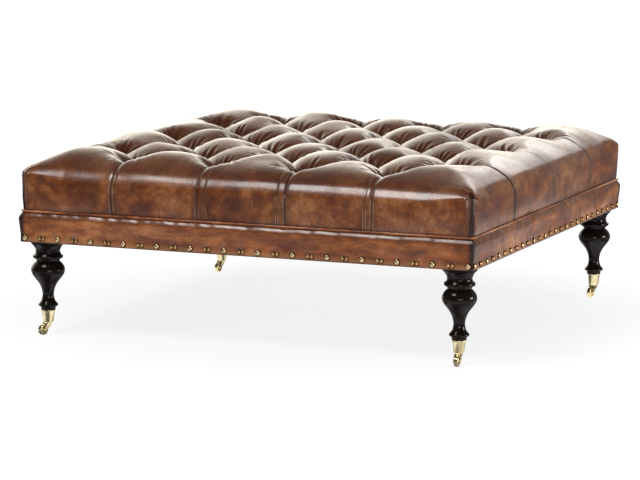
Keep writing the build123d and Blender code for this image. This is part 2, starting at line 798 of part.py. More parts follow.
# Casters: a cast fork on the swivel pin, an axle riveted into its arms, and a brass wheel
for corner in corners:
    ground = caster_ground(corner)
    with BuildPart() as fork:
        with BuildSketch(ground.offset(fork_top)) as crown:
            with Locations((0, (fork_crown_front - fork_crown_back) / 2)):
                RectangleRounded(fork_crown_width, fork_crown_front + fork_crown_back, fork_crown_corner)
        extrude(amount=-fork_crown_height)
        with BuildSketch(ground.offset(boss_foot)):
            Circle(fork_boss_radius)
        extrude(amount=fork_boss_drop)
        for inner_face in (arm_face, -arm_face - fork_arm_thickness):
            with BuildSketch(caster_side(corner, inner_face)):
                with BuildLine():
                    CenterArc((-caster_trail, wheel_radius), fork_eye_radius, 0, 360)
                    Polyline(
                        (-fork_crown_back * 0.8, fork_top), (fork_crown_front * 0.5, fork_top),
                        (fork_crown_front * 0.5, fork_top - fork_crown_height),
                        (-fork_crown_back * 0.8, fork_top - fork_crown_height), close=True,
                    )
                make_hull()
            extrude(amount=fork_arm_thickness)
        with BuildSketch(ground):
            Circle(swivel_pin_radius + running_clearance)
        extrude(amount=fork_top + cut_overrun, mode=Mode.SUBTRACT)
        with BuildSketch(caster_side(corner)):
            with Locations((-caster_trail, wheel_radius)):
                Circle(axle_radius)
        extrude(amount=fork_crown_width, both=True, mode=Mode.SUBTRACT)
    save(fork.part, f"caster_fork_{corner}")

    with BuildPart() as axle:
        outer_face = arm_face + fork_arm_thickness
        with BuildSketch(caster_side(corner)):
            with Locations((-caster_trail, wheel_radius)):
                Circle(axle_radius)
        extrude(amount=outer_face, both=True)
        for head_face in (outer_face, -outer_face - axle_head_height):
            with BuildSketch(caster_side(corner, head_face)):
                with Locations((-caster_trail, wheel_radius)):
                    Circle(axle_head_radius)
            extrude(amount=axle_head_height)
    save(axle.part, f"caster_axle_{corner}")

    hub_face = fork_gap
    rim_face = wheel_tread_width / 2
    web_face = rim_face - wheel_web_recess
    rim_inside = wheel_radius - wheel_rim_height
    bore_radius = axle_radius + running_clearance
    axle_line = ground.origin - ground.y_dir * caster_trail + ground.z_dir * wheel_radius
    with BuildPart() as wheel:
        with BuildSketch(Plane(axle_line, x_dir=ground.x_dir, z_dir=ground.y_dir)) as half_section:
            with BuildLine():
                Polyline(
                    (hub_face, bore_radius), (hub_face, wheel_hub_radius), (web_face, wheel_hub_radius),
                    (web_face, rim_inside), (rim_face, rim_inside),
                    (rim_face, wheel_radius - wheel_edge_round),
                )
                RadiusArc(
                    (rim_face, wheel_radius - wheel_edge_round), (rim_face - wheel_edge_round, wheel_radius),
                    -wheel_edge_round,
                )
                Polyline(
                    (rim_face - wheel_edge_round, wheel_radius), (0, wheel_radius), (0, bore_radius),
                    (hub_face, bore_radius),
                )
            make_face()
            mirror(about=Plane.YZ)
        revolve(axis=Axis(axle_line, ground.x_dir))
    save(wheel.part, f"caster_wheel_{corner}")
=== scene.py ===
from math import cos, pi, radians, sin

import bpy
import numpy as np
from mathutils import Matrix, Vector


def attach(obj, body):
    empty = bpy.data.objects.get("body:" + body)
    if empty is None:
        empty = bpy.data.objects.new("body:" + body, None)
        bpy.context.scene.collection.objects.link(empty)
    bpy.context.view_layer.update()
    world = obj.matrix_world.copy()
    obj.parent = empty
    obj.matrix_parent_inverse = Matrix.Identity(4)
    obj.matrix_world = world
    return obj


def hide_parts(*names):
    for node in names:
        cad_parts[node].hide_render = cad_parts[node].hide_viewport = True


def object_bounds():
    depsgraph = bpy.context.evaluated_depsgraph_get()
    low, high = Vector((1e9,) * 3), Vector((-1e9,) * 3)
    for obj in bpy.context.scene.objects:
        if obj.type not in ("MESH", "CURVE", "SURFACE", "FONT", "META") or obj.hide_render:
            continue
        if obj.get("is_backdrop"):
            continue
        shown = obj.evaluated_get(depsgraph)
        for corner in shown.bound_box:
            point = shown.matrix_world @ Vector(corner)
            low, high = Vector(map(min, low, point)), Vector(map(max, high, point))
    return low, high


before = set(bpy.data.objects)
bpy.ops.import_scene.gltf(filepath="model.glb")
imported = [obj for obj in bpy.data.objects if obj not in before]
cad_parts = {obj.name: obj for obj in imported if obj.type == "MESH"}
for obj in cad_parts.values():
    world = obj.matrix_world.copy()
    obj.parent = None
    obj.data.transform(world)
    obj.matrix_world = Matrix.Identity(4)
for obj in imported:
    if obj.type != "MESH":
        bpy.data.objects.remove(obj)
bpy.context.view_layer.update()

# Camera: it stands to the right of the front, a little above the crowns, and looks slightly down
# through a long lens. Its place, turns and lens are the ones that fit the photograph.
camera = bpy.data.objects.new("camera", bpy.data.cameras.new("camera"))
bpy.context.collection.objects.link(camera)
camera.data.lens, camera.data.sensor_width = 185.6, 36.0
camera.data.clip_start, camera.data.clip_end = 0.1, 200.0
stand = Matrix.Translation((3.1796, -8.0600, 1.4964))
for degrees, axis in ((21.72, "Z"), (81.49, "X"), (0.27, "Z")):
    stand = stand @ Matrix.Rotation(radians(degrees), 4, axis)
camera.matrix_world = stand
bpy.context.scene.camera = camera
bpy.context.scene.view_settings.view_transform = "Standard"

# Studio: a broad key light overhead, softer ones in front and to the right, and a weak one behind. The
# world is a dim warm fill. Reflections also show a pale wall, low behind the ottoman and to its left.


class Wire:
    """A socket in a tree of nodes. Sums on it add the Math nodes that they name."""

    def __init__(self, tree, socket=None):
        self.tree, self.socket = tree, socket

    def node(self, kind, settings={}, inputs={}, out=0):
        """Adds any node, with its settings first and then its inputs, and gives one of its outputs."""
        family = "" if kind.startswith(("Geometry", "Function", "NodeGroup")) else "ShaderNode"
        made = self.tree.nodes.new(family + kind)
        for name, value in settings.items():
            if name == "stops":
                ramp = made.color_ramp.elements
                ramp.remove(ramp[-1])
                ramp[0].position, ramp[0].color = value[0][0], (*value[0][1], 1)
                for place, colour in value[1:]:
                    ramp.new(place).color = (*colour, 1)
            else:
                setattr(made, name, value)
        for name, value in inputs.items():
            for one in value if isinstance(value, list) else [value]:
                if isinstance(one, Wire):
                    self.tree.links.new(one.socket, made.inputs[name])
                elif made.inputs[name].type == "RGBA":
                    made.inputs[name].default_value = (*one, 1)
                else:
                    made.inputs[name].default_value = one
        return Wire(self.tree, made.outputs[out] if made.outputs else None)

    def math(self, operation, *values):
        return self.node("Math", {"operation": operation}, dict(enumerate(values)))

    def __add__(self, other): return self.math("ADD", self, other)
    def __radd__(self, other): return self.math("ADD", other, self)
    def __sub__(self, other): return self.math("SUBTRACT", self, other)
    def __rsub__(self, other): return self.math("SUBTRACT", other, self)
    def __mul__(self, other): return self.math("MULTIPLY", self, other)
    def __rmul__(self, other): return self.math("MULTIPLY", other, self)
    def __truediv__(self, other): return self.math("DIVIDE", self, other)
    def __rtruediv__(self, other): return self.math("DIVIDE", other, self)

    def step(self, value, low, high, low_gives=0.0, high_gives=1.0):
        """Smooth step between two values."""
        ease = {"interpolation_type": "SMOOTHSTEP"}
        return self.node("MapRange", ease, {0: value, 1: low, 2: high, 3: low_gives, 4: high_gives})

    def blend(self, share, first, second):
        """Mixes two colours by a share."""
        return self.node("Mix", {"data_type": "RGBA"}, {0: share, 6: first, 7: second}, 2)

    def split(self, vector):
        """The three numbers of a vector."""
        made = self.node("SeparateXYZ", inputs={0: vector}).socket.node
        return [Wire(self.tree, made.outputs[axis]) for axis in "XYZ"]


def new_tree(owner):
    """Empties an owner's nodes and gives the start of its sums."""
    owner.use_nodes = True
    owner.node_tree.nodes.clear()
    return Wire(owner.node_tree)


world = bpy.data.worlds.new("studio")
bpy.context.scene.world = world
w = new_tree(world)
east, north, up = w.split(w.node("TexCoord", out="Generated"))
wall = w.step(north, -0.25, 0.6) * w.step(up, 0.12, 0.98, 1.0, 0.06) * w.step(east, -0.42, 0.18, 1.0, 0.10)
mirrored = 0.06 + 2.3 * wall
fill = w.step(up, 0.0, 0.8, 0.30, 0.16)
ray_kinds = ("Camera", "Glossy", "Transmission")
seen, shiny, through = (w.node("LightPath", out=f"Is {kind} Ray") for kind in ray_kinds)
direct = w.math("MAXIMUM", seen, through)
level = w.math("MAXIMUM", direct, mirrored * shiny + fill * (1 - shiny))
warm_white, white = (1.0, 0.93, 0.81), (1.0, 1.0, 1.0)
light = w.node("Background", inputs={"Color": w.blend(direct, warm_white, white), "Strength": level})
w.node("OutputWorld", inputs={"Surface": light})

for name, place, aim, size, watts in (
    ("key light", (-1.30, -3.20, 4.30), (-0.1, -0.5, 0.4), (1.9, 1.4), 96),
    ("front light", (2.4, -4.6, 0.7), (0, -0.3, 0.3), (2.4, 1.0), 45),
    ("right light", (4.6, 0.6, 0.9), (0, 0, 0.35), (1.6, 1.2), 102),
    ("back light", (0.3, 4.6, 2.30), (0, 0, 0.4), (1.8, 0.6), 9),
):
    lamp = bpy.data.objects.new(name, bpy.data.lights.new(name, "AREA"))
    bpy.context.collection.objects.link(lamp)
    lamp.data.shape, lamp.data.size, lamp.data.size_y, lamp.data.energy = "RECTANGLE", *size, watts
    turn = (Vector(place) - Vector(aim)).to_track_quat("Z", "Y")
    lamp.matrix_world = Matrix.Translation(place) @ turn.to_matrix().to_4x4()

# Floor: a plain white paper sweep that keeps a faint shadow of the ottoman. Reflections show it darker,
# and near the ottoman in patches, so that brass and lacquer pick up dark lines.


def clouds(tree, scale, detail, rough=0.5, bend=0.0, place=None):
    """Cloudy pattern, by default in metres of the shared frame."""
    return tree.node("TexNoise", inputs={
        "Vector": place or tree.node("TexCoord", out="Object"),
        "Scale": scale, "Detail": detail, "Roughness": rough, "Distortion": bend,
    })


floor_half = 60.0
floor_corners = [(x * floor_half, y * floor_half, 0) for x, y in ((-1, -1), (1, -1), (1, 1), (-1, 1))]
floor_mesh = bpy.data.meshes.new("floor")
floor_mesh.from_pydata(floor_corners, [], [(0, 1, 2, 3)])
floor = bpy.data.objects.new("floor", floor_mesh)
bpy.context.collection.objects.link(floor)
floor_paper = bpy.data.materials.new("floor paper")
f = new_tree(floor_paper)
seen, shiny = (f.node("LightPath", out=f"Is {kind} Ray") for kind in ("Camera", "Glossy"))
away = f.node("VectorMath", {"operation": "LENGTH"}, {0: f.node("TexCoord", out="Object")}, "Value")
far = f.step(away, 1.1, 2.1)
near_dim = 0.66 - 0.95 * f.step(clouds(f, 3.2, 1.0), 0.44, 0.56)
far_dim = 0.62
dim = shiny * (far * far_dim + (1 - far) * near_dim)
glow = f.node("Emission", inputs={"Color": white, "Strength": 0.80 + 0.31 * seen - dim})
paper = f.node("BsdfDiffuse", inputs={"Color": (0.86, 0.86, 0.86)})
share = f.math("MAXIMUM", seen * f.step(away, 0.55, 1.5, 0.76, 1.0), 1 - seen)
f.node("OutputMaterial", inputs={"Surface": f.node("MixShader", inputs={0: share, 1: paper, 2: glow})})
floor_mesh.materials.append(floor_paper)
floor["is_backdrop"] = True

# Hidden frame: sawn hardwood rails, dowels, cross members and corner blocks, glued and screwed. Its deck
# is birch plywood, and the screws, bolts, nuts and staples are zinc-plated steel.


def material(name, colour, rough, **extra):
    """Starts a material: gives it, its sums and the inputs of its shader, which dress() fills."""
    made = bpy.data.materials.new(name)
    made.diffuse_color = (*colour, 1)
    return made, new_tree(made), {"Base Color": colour, "Roughness": rough, **extra}


def dress(tree, shader):
    """Ends a material with its shader."""
    tree.node("OutputMaterial", inputs={"Surface": tree.node("BsdfPrincipled", inputs=shader)})


def bump(tree, height, strength, distance):
    """Small relief: height in units of a distance in metres."""
    inputs = {"Height": height, "Strength": strength, "Distance": distance}
    return tree.node("Bump", inputs=inputs, out="Normal")


def paint(made, *nodes):
    """Gives CAD nodes a finish."""
    for node in nodes:
        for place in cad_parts[node].material_slots:
            place.material = made


sides = ("front", "right", "back", "left")
corners = ("front_left", "front_right", "back_left", "back_right")


def sawn_wood(name, pale, dark, along, *nodes):
    """Unfinished wood with its grain along one axis, for the nodes that are cut from it."""
    made, t, shader = material(name, pale, 0.72)
    per_metre, per_metre_along = 60.0, 3.0
    scale = tuple(per_metre_along if axis == along else per_metre for axis in "XYZ")
    place = t.node("Mapping", inputs={"Vector": t.node("TexCoord", out="Object"), "Scale": scale})
    grain = clouds(t, 1.0, 5.0, bend=0.4, place=place)
    fine = clouds(t, 4.0, 3.0, place=place)
    shader["Base Color"] = t.blend(t.step(grain + fine * 0.3, 0.45, 0.85), pale, dark)
    shader["Normal"] = bump(t, fine, 0.4, 0.0006)
    dress(t, shader)
    paint(made, *nodes)


sawn_wood("hardwood across", (0.50, 0.33, 0.18), (0.34, 0.20, 0.10), "X", "rail_front", "rail_back")
sawn_wood("hardwood along", (0.52, 0.34, 0.19), (0.35, 0.21, 0.10), "Y",
          "rail_left", "rail_right", "cross_member_left", "cross_member_right", "rail_dowels")
sawn_wood("block wood", (0.47, 0.30, 0.16), (0.30, 0.18, 0.09), "Z",
          *[f"corner_block_{corner}" for corner in corners])
sawn_wood("plywood", (0.62, 0.45, 0.27), (0.48, 0.32, 0.17), "X", "deck_panel")

steel, t, shader = material("zinc-plated steel", (0.56, 0.56, 0.55), 0.34, Metallic=1.0)
shader["Roughness"] = t.step(clouds(t, 300.0, 3.0), 0.3, 0.7, 0.26, 0.46)
dress(t, shader)
paint(steel, "frame_screws", "deck_screws", "hanger_bolts", "leg_nuts", "dust_cover_staples")

# Under the cover: a block of open-cell foam, waxed twines from the buttons, and pressed-board washers
# that their knots pull against. A black cloth closes the frame from below, stapled to the rails.
foam, t, shader = material("foam", (0.80, 0.75, 0.58), 0.9)
cell = t.node("TexVoronoi", inputs={"Vector": t.node("TexCoord", out="Object"), "Scale": 600.0})
shader["Base Color"] = t.blend(cell, (0.84, 0.79, 0.62), (0.66, 0.60, 0.44))
shader["Normal"] = bump(t, cell, 0.5, 0.0008)
dress(t, shader)
paint(foam, "foam_pad")

twine, t, shader = material("waxed twine", (0.66, 0.58, 0.42), 0.6)
strand = t.node("TexWave", {"bands_direction": "DIAGONAL"}, {
    "Vector": t.node("TexCoord", out="Object"), "Scale": 500.0, "Distortion": 1.0,
})
shader["Base Color"] = t.blend(strand, (0.70, 0.62, 0.46), (0.46, 0.38, 0.26))
shader["Normal"] = bump(t, strand, 0.6, 0.0003)
dress(t, shader)
paint(twine, "tufting_twines")

board, t, shader = material("pressed board", (0.30, 0.20, 0.12), 0.8)
shader["Base Color"] = t.blend(clouds(t, 400.0, 4.0), (0.24, 0.16, 0.10), (0.38, 0.26, 0.16))
dress(t, shader)
paint(board, "twine_washers")

cloth, t, shader = material("black cloth", (0.02, 0.02, 0.02), 0.9)
place = t.node("TexCoord", out="Object")
warp, weft = (
    t.node("TexWave", {"bands_direction": axis}, {"Vector": place, "Scale": 260.0}) for axis in "XY"
)
weave = warp * weft
shader["Base Color"] = t.blend(weave, (0.010, 0.010, 0.010), (0.040, 0.040, 0.042))
shader["Normal"] = bump(t, weave, 0.5, 0.0004)
dress(t, shader)
paint(cloth, "dust_cover")

# Border bands: on each side a strip of antiqued cognac leather over felt, folded over a roll at the top,
# where it puckers, and tacked under the rails. The hide is mottled with dark stains and pale scuffs. Painted
# shade darkens it under the roll, along its lowest edge, round the nails and at the mitred corners, and it is
# lighter and golden towards its foot.


def leather(name, pale, shade_and_marks=None, stretch=(1, 0.5, 1), seed=0.0):
    """Mottled, waxed hide. pale lightens it; the marks function adds painted shade and other marks of its
    place; seed shifts the pattern.
    """
    made, t, shader = material(name, (0.20, 0.075, 0.032), 0.4)
    place = t.node("TexCoord", out="Object")
    hide = t.node("Mapping", inputs={"Vector": place, "Scale": stretch, "Location": (seed, seed / 2, 0)})

    def noise(scale, detail=4.0, rough=0.5, bend=0.0):
        return clouds(t, scale, detail, rough, bend, hide)

    def shade(*colour):
        return tuple(part * pale for part in colour)

    tone = noise(7.0, 5.0, 0.58, 0.6) * 0.48 + noise(26.0, 6.0, 0.66, 0.3) * 0.52
    colour = t.node("ValToRGB", {"stops": [
        (0.38, shade(0.078, 0.0155, 0.0042)), (0.46, shade(0.152, 0.0370, 0.0070)),
        (0.52, shade(0.235, 0.0660, 0.0120)), (0.60, shade(0.350, 0.1330, 0.0420)),
    ]}, {0: tone})
    stain = t.step(noise(85.0, 5.0, 0.7), 0.42, 0.66)
    colour = t.blend(stain * 0.40, colour, shade(0.072, 0.0180, 0.0050))
    vein = t.math("ABSOLUTE", noise(13.0, 3.0, 0.5, 0.7) - 0.5)
    scuff = t.step(vein, 0.0, 0.012, 1.0, 0.0) * t.step(noise(31.0), 0.48, 0.62)
    colour = t.blend(scuff * 0.2, colour, shade(0.42, 0.22, 0.115))
    # Painted shade and other marks of the piece's place, where a marks function is given.
    shader["Base Color"] = shade_and_marks(t, colour, place, noise) if shade_and_marks else colour
    shader["Roughness"] = t.step(noise(17.0, 4.0, 0.6), 0.3, 0.7, 0.30, 0.44) + stain * 0.05

    pebble = t.node("TexVoronoi", inputs={"Vector": hide, "Scale": 430.0})
    upright = t.node("Mapping", inputs={"Vector": place, "Scale": (150, 150, 8)})
    pull = clouds(t, 1.0, 3.0, place=upright) * t.step(noise(7.0), 0.42, 0.62)
    relief = pebble * 0.35 + noise(120.0, 4.0, 0.6) * 0.9 + noise(38.0, 3.0) * 1.4 - scuff * 0.3 + pull * 2.3
    shader["Normal"] = bump(t, relief, 0.55, 0.0010)
    shader["Specular IOR Level"] = 0.32
    shader["Coat Weight"] = t.step(noise(7.0), 0.38, 0.60, 0.45, 1.0)
    shader["Coat Roughness"] = 0.18
    shader["Coat IOR"] = 1.52
    dress(t, shader)
    return made


def band_shade_and_marks(t, colour, place, noise):
    """Painted shade under the roll, along the lowest edge, round the nails and at the mitred corners; lighter
    and golden towards the foot.
    """
    wide, deep, high = (t.math("ABSOLUTE", part) for part in t.split(place))
    near_nail = t.node("Attribute", {"attribute_name": "near nail"}, out="Fac")
    mitre = t.math("MINIMUM", wide, deep)
    # Painted shade under the roll, below the welt.
    colour = t.blend(t.step(high, 0.302, 0.310) * 0.55, colour, (0.100, 0.0370, 0.0230))
    colour = t.blend(t.step(high, 0.246, 0.263, 1, 0) * 0.45, colour, (0.430, 0.2150, 0.1000))
    # Painted shade along the lowest edge, where the band turns under.
    colour = t.blend(t.step(high, 0.2437, 0.2475, 1, 0) * 0.85, colour, (0.050, 0.0200, 0.0100))
    # Painted shade in the leather round each nail head.
    colour = t.blend(t.step(near_nail, 0.30, 0.85) * 0.8, colour, (0.045, 0.0160, 0.0080))
    # Painted shade at the mitred corners.
    return t.blend(t.step(mitre, 0.5930, 0.6050) * 0.94, colour, (0.02, 0.007, 0.004))


def stand_for(piece, slot, *nodes):
    """Hides the CAD nodes that a piece stands for and fixes the piece to the frame. The slot is not used."""
    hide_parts(*nodes)
    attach(piece, "root")


def sew(name, points, faces, made, node):
    """Makes a leather piece out of its points and faces, and lets it stand for its CAD node."""
    mesh = bpy.data.meshes.new(name)
    mesh.from_pydata(points, [], faces)
    mesh.materials.append(made)
    mesh.validate()
    mesh.polygons.foreach_set("use_smooth", np.ones(len(mesh.polygons), bool))
    piece = bpy.data.objects.new(name, mesh)
    bpy.context.collection.objects.link(piece)
    stand_for(piece, "leather", node)
    return piece


def mark(mesh, label, values, kind="FLOAT", key="value"):
    """Gives each point of a mesh a named number or vector."""
    mesh.attributes.new(label, kind, "POINT").data.foreach_set(key, np.ravel(values).astype(np.float32))


# The nails' places along a side come first, because each nail pulls the leather in round its head.
nail_pitch, pair_gap, nail_height, nail_face = 0.0919077, 0.0108, 0.2540, 0.6103
single_nails = [(k - 6.5) * nail_pitch for k in range(14)]
paired_nails = [x + nail_pitch / 2 + gap for x in single_nails[:-1] for gap in (-pair_gap / 2, pair_gap / 2)]
single_mark, paired_mark = 0.0100, 0.0078
nail_marks = [(x, single_mark) for x in single_nails] + [(x, paired_mark) for x in paired_nails]

# The band's profile, round from its inner edge to its top: distance out, height, and share of puckers.
band_profile = [(0.6050, 0.2448, 0.0), (0.5830, 0.2448, 0.0), (0.5830, 0.2430, 0.0)]
band_profile += [(x, 0.2430, 0.0) for x in np.linspace(0.590, 0.6085, 5)]
band_profile += [(0.6098, 0.2434, 0.0)]
band_profile += [(0.6100, z, 0.25) for z in np.linspace(0.2450, 0.2650, 8)]
band_profile += [(0.6100 + 0.0033 * s, 0.265 + 0.035 * s, 0.3 + 0.5 * s) for s in np.linspace(0.12, 1.0, 7)]
band_profile += [
    (0.6134, 0.3025, 1.0), (0.6134, 0.3050, 1.0), (0.6130, 0.3073, 1.0), (0.6121, 0.3097, 1.0),
    (0.6110, 0.3117, 1.0), (0.6098, 0.3137, 1.0), (0.6086, 0.3157, 1.0), (0.6074, 0.3176, 1.0),
    (0.6064, 0.3193, 0.8), (0.6057, 0.3204, 0.3), (0.6050, 0.3205, 0.0),
]
band_out, band_up, band_loose = np.array(band_profile).T
band_leather = leather("band leather", 1.36, band_shade_and_marks, stretch=(0.45, 0.45, 1.2), seed=3.1)
nail_pull, pull_across, pull_up, swell_height = 0.0017, 0.0085, 0.012, 0.266
face_bulge, felt_swell, fold_lift, fold_foot = 0.00075, 0.0008, 0.0011, 0.304
rng = np.random.default_rng(7)
across, around = 520, len(band_profile)
along = np.linspace(-1, 1, across)
for turn, side in enumerate(sides):
    x, z = along[:, None] * band_out, np.repeat(band_up[None], across, 0)
    ease = np.clip((1 - np.abs(along)) / 0.03, 0, 1)[:, None] * band_loose
    pucker = np.zeros_like(x)
    for wave, size in ((19, 0.5), (43, 0.45), (71, 0.40), (118, 0.30), (190, 0.16)):
        shift = rng.uniform(0, 6.28)
        pucker += size * np.sin(wave * x + shift + 1.2 * np.sin(7.3 * x + shift) + 9 * (z - 0.32))
    bulge = face_bulge * pucker * ease
    by_nail = sum(np.exp(-((x - place) / pull_across) ** 2) for place, _ in nail_marks)
    drawn_in = by_nail * np.exp(-((z - nail_height) / pull_up) ** 2) * (band_out > 0.6095)
    swell = np.exp(-((z - swell_height) / 0.007) ** 2) * (1 - by_nail) * ease
    y = -band_out - np.where(z > 0.262, bulge, bulge * 0.25) + nail_pull * drawn_in - felt_swell * swell
    lift = np.where(z > fold_foot, fold_lift * pucker * ease, 0)
    spin = Matrix.Rotation(turn * pi / 2, 3, "Z")
    points = [tuple(spin @ Vector(p)) for p in np.stack([x, y, z + lift], -1).reshape(-1, 3)]
    faces = [
        (i + j, i + (j + 1) % around, i + around + (j + 1) % around, i + around + j)
        for i in range(0, (across - 1) * around, around) for j in range(around)
    ]
    faces += [tuple(reversed(range(around))), tuple((across - 1) * around + j for j in range(around))]
    band = sew(f"leather_band_{side}", points, faces, band_leather, f"border_band_{side}")
    # The mask of the painted shade round the nail heads.
    mark(band.data, "near nail", np.clip(sum(
        np.exp(-(((x - place) / r) ** 2 + ((z - nail_height) / r) ** 2) ** 2) for place, r in nail_marks
    ), 0, 1))

# Decorative nails: pressed brass domes on steel shanks, hammered in along the foot of the band, single
# large ones and pairs of small ones. Their brass goes from painted shade at the rim of each head to a painted
# highlight on top, and the band has painted shade round each head.
nail_brass, t, shader = material("nail brass with painted light", (0.42, 0.24, 0.10), 0.30, Metallic=1.0)
wide, deep, _ = (t.math("ABSOLUTE", part) for part in t.split(t.node("TexCoord", out="Object")))
height = t.math("MAXIMUM", wide, deep) - nail_face
spot = clouds(t, 220.0, 4.0)
dome_rise = 0.0029
# Painted light: dark at the rim of each head as painted shade, bright on top as a painted highlight.
shader["Base Color"] = t.node("ValToRGB", {"stops": [
    (0.10, (0.045, 0.016, 0.006)), (0.42, (0.42, 0.190, 0.070)),
    (0.72, (0.86, 0.55, 0.24)), (1.0, (1.00, 0.86, 0.58)),
]}, {0: height / dome_rise + (spot - 0.5) * 0.3})
shader["Roughness"] = t.step(spot, 0.3, 0.7, 0.36, 0.22)
shader["Normal"] = bump(t, spot, 0.15, 0.0004)
dress(t, shader)


def start_tree(name, sizes):
    """Starts a Geometry Nodes tree with named inputs. Gives its sums, its places and then each size."""
    tree = bpy.data.node_groups.new(name, "GeometryNodeTree")
    tree.interface.new_socket("Places", in_out="INPUT", socket_type="NodeSocketGeometry")
    for label, value in sizes.items():
        kind = "NodeSocketInt" if isinstance(value, int) else "NodeSocketFloat"
        tree.interface.new_socket(label, in_out="INPUT", socket_type=kind)
    tree.interface.new_socket("Shape", in_out="OUTPUT", socket_type="NodeSocketGeometry")
    given = tree.nodes.new("NodeGroupInput")
    return Wire(tree), *(Wire(tree, given.outputs[label]) for label in ("Places", *sizes))


def run_tree(g, sizes, name, shape, made, places, facts={}):
    """Ends a tree and runs it on its places, which carry named facts. Gives the plain mesh object."""
    real = g.node("GeometryNodeRealizeInstances", inputs={0: shape})
    real = g.node("GeometryNodeSetShadeSmooth", inputs={0: real})
    real = g.node("GeometryNodeSetMaterial", inputs={"Geometry": real, "Material": made})
    g.node("NodeGroupOutput", inputs={0: real})
    mesh = bpy.data.meshes.new(name + "_places")
    mesh.from_pydata(places, [], [])
    for label, values in facts.items():
        mark(mesh, label, values, *(("FLOAT_VECTOR", "vector") if np.ndim(values) == 2 else ()))
    carrier = bpy.data.objects.new(name + "_places", mesh)
    bpy.context.collection.objects.link(carrier)
    grown = carrier.modifiers.new("grow", "NODES")
    grown.node_group = g.tree
    for socket in g.tree.interface.items_tree:
        if socket.name in sizes:
            grown[socket.identifier] = sizes[socket.name]
    ready = carrier.evaluated_get(bpy.context.evaluated_depsgraph_get())
    result = bpy.data.meshes.new_from_object(ready)
    carrier.modifiers.remove(grown)
    bpy.data.objects.remove(carrier)
    result.name = name
    piece = bpy.data.objects.new(name, result)
    bpy.context.collection.objects.link(piece)
    return piece


nail_sizes = {
    "Dome share": 0.46, "Shank share": 0.16, "Point share": 0.02, "Shank length": 1.5,
    "Tilt": 0.05, "Seed": 4,
}
g, driven_at, dome_share, shank_share, point_share, shank_length, tilt, seed = start_tree(
    "upholstery nails", nail_sizes)
ball = g.node("GeometryNodeMeshUVSphere", inputs={"Segments": 14, "Rings": 8, "Radius": 1.0})
flat = g.node("CombineXYZ", inputs={"X": 1.0, "Y": 1.0, "Z": dome_share})
head = g.node("GeometryNodeTransform", inputs={"Geometry": ball, "Scale": flat})
rod = g.node("GeometryNodeMeshCone", inputs={
    "Vertices": 6, "Radius Top": shank_share, "Radius Bottom": point_share, "Depth": shank_length,
})
below = g.node("CombineXYZ", inputs={"Z": shank_length * -1.0})
shank = g.node("GeometryNodeTransform", inputs={"Geometry": rod, "Translation": below})
nail = g.node("GeometryNodeJoinGeometry", inputs={0: [head, shank]})
head_size = g.node("GeometryNodeInputNamedAttribute", {"data_type": "FLOAT"}, {"Name": "head"})
facing = g.node("GeometryNodeInputNamedAttribute", {"data_type": "FLOAT_VECTOR"}, {"Name": "facing"})
wobble = g.node("FunctionNodeRandomValue", {"data_type": "FLOAT_VECTOR"}, {
    0: tilt * -1.0, 1: tilt, "Seed": seed,
})
leaning = g.node("VectorMath", {"operation": "ADD"}, {0: facing, 1: wobble})
turned = g.node("FunctionNodeAlignRotationToVector", {"axis": "Z"}, {"Vector": leaning})
driven = g.node("GeometryNodeInstanceOnPoints", inputs={
    "Points": driven_at, "Instance": nail, "Rotation": turned, "Scale": head_size,
})
single_head, paired_head = 0.0071, 0.0051
places, heads, facings = [], [], []
for turn in range(len(sides)):
    spin = Matrix.Rotation(turn * pi / 2, 3, "Z")
    for row, radius in ((single_nails, single_head), (paired_nails, paired_head)):
        places += [tuple(spin @ Vector((x, -nail_face, nail_height))) for x in row]
        heads += [radius] * len(row)
        facings += [tuple(spin @ Vector((0, -1, 0)))] * len(row)
nails = run_tree(g, nail_sizes, "decorative_nails", driven, nail_brass, places,
                 {"head": heads, "facing": facings})
stand_for(nails, "nail_brass", *[f"nails_{side}" for side in sides])

# Tufted cover: leather pulled down over wadding by 31 buttons in a diamond pattern. The surplus is
# tucked into folds along the diagonals, and into pleats from the outer buttons down to the seam.
step_x, step_y, columns, rows = 0.116, 0.159, 4, 3
widest, foot, side_top, seam = 0.613, 0.606, 0.3970, 0.3212
per_block, margin_steps, side_steps, squeeze = 42, 44, 15, 0.50  # grid steps, closer along the folds

# Half of the crown's profile, from the top of the side inwards: distance along the leather, and the angle
# that the leather has turned there from upright. It is then told from the middle outwards.
length_line = np.linspace(0, 0.200, 500)
turned = np.radians(np.interp(length_line, (0, 0.010, 0.034, 0.047, 0.175), (0, 24, 36, 52, 90)))
turned = np.convolve(np.pad(turned, 12, mode="edge"), np.ones(25) / 25, "valid")
length_step = length_line[1] - length_line[0]
plan_line = widest - np.concatenate([[0], np.cumsum(np.sin(turned[:-1]) * length_step)])
rise = side_top + np.concatenate([[0], np.cumsum(np.cos(turned[:-1]) * length_step)])
crown = rise[-1]
plan_line, drop_line, lean_line = plan_line[::-1], crown - rise[::-1], np.cos(turned)[::-1]


def cloth_lines(step, count):
    """Grid lines across the leather: their place in plan, drop, lean, and distance along the leather."""
    part = np.arange(per_block) / per_block
    block = part - squeeze / (2 * pi) * np.sin(2 * pi * part)
    inner = np.concatenate([(i + block) * step for i in range(-count, count)] + [[count * step]])
    start = np.interp(count * step, plan_line, length_line)
    length = np.linspace(start, length_line[-1], margin_steps + 1)[1:]
    place, drop, lean = (np.interp(length, length_line, line) for line in (plan_line, drop_line, lean_line))
    flat, tip = (np.interp(np.abs(inner), plan_line, line, left=0.0) for line in (drop_line, lean_line))
    reach = count * step + length - start
    return [
        np.concatenate([end * line[::-1], middle, line])
        for end, line, middle in ((-1, place, inner), (1, drop, flat), (1, lean, tip), (-1, reach, inner))
    ]


